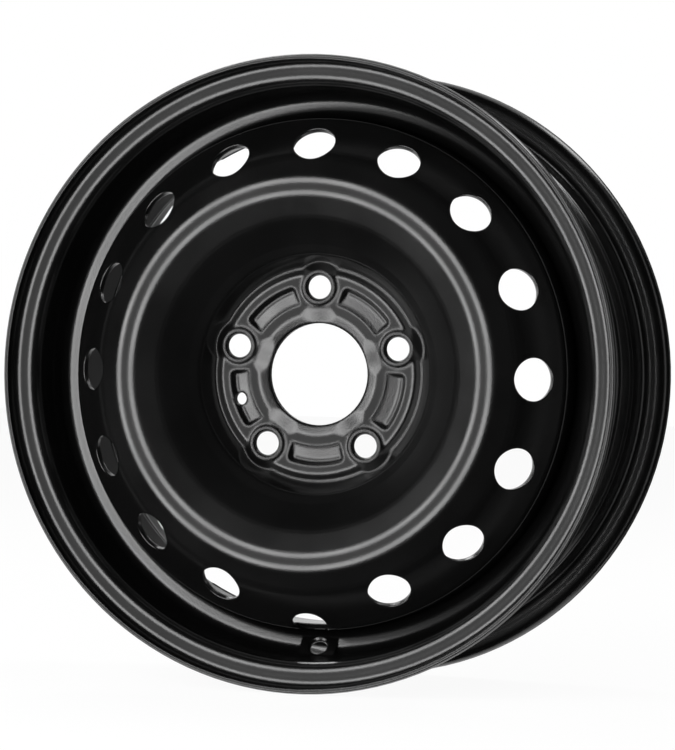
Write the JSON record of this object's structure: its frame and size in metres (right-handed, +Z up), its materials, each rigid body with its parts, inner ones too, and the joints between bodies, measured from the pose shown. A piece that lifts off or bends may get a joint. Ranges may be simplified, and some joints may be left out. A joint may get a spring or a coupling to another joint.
{
  "type": "steel wheel",
  "caption": "Pressed steel road wheel: a rolled drop-centre rim with a welded disc, round vent holes, a centre bore and conical nut seats on a bolt circle.",
  "frame": {"origin": "on the axle line, midway between the two flanges of the rim", "axes": "+Y along the axle towards the vehicle (inboard), -Y outboard, +Z up through one bolt hole, with the valve hole straight down"},
  "size_m": [0.4148, 0.1804, 0.4146],
  "materials": {
    "rim_paint": "satin black",
    "disc_paint": "satin black",
    "weld_paint": "satin black over rippled weld"
  },
  "bodies": {
    "root": {"rim": "rim_paint", "disc": "disc_paint", "weld_beads": "weld_paint"}
  },
  "joints": []
}
